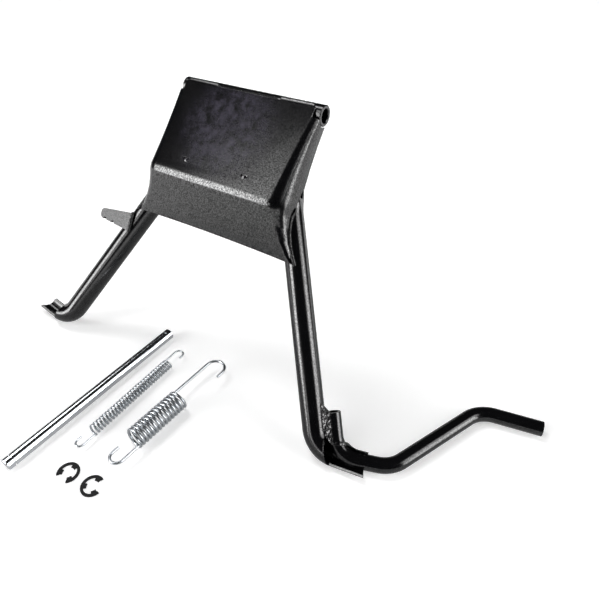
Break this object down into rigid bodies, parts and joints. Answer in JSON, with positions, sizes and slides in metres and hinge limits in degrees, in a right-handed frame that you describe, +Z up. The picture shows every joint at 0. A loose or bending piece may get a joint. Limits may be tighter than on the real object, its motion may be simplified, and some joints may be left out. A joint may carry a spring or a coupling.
{
  "type": "motorcycle centre stand",
  "caption": "Centre stand of bent steel tube with a folded shield plate, side foot lever and spring lug, shown with its loose hinge axle, hooked springs and axle clips.",
  "frame": {"origin": "middle of the pivot tube, on the axis that the stand swings on", "axes": "+X along the pivot bore towards the leg that carries the foot lever, -Y towards the front of the shield plate, +Z up; the feet stand on the floor below"},
  "size_m": [0.5502, 0.323, 0.2516],
  "materials": {
    "black_powder_coat": "gloss",
    "zinc_plated_steel": "semi-gloss",
    "blackened_spring_steel": "semi-gloss"
  },
  "bodies": {
    "root": {"pivot_tube": "black_powder_coat", "shield_plate": "black_powder_coat", "left_leg": "black_powder_coat", "right_leg": "black_powder_coat", "foot_lever": "black_powder_coat", "lever_gusset": "black_powder_coat", "spring_lug": "black_powder_coat", "pivot_weld_left": "black_powder_coat", "pivot_weld_right": "black_powder_coat", "plate_weld": "black_powder_coat", "corner_weld_left": "black_powder_coat", "corner_weld_right": "black_powder_coat", "lug_weld": "black_powder_coat", "lever_weld": "black_powder_coat", "foot_weld": "black_powder_coat", "axle": "zinc_plated_steel", "axle_clip_a": "blackened_spring_steel", "axle_clip_b": "blackened_spring_steel", "outer_spring": "zinc_plated_steel", "inner_spring": "zinc_plated_steel"}
  },
  "joints": []
}
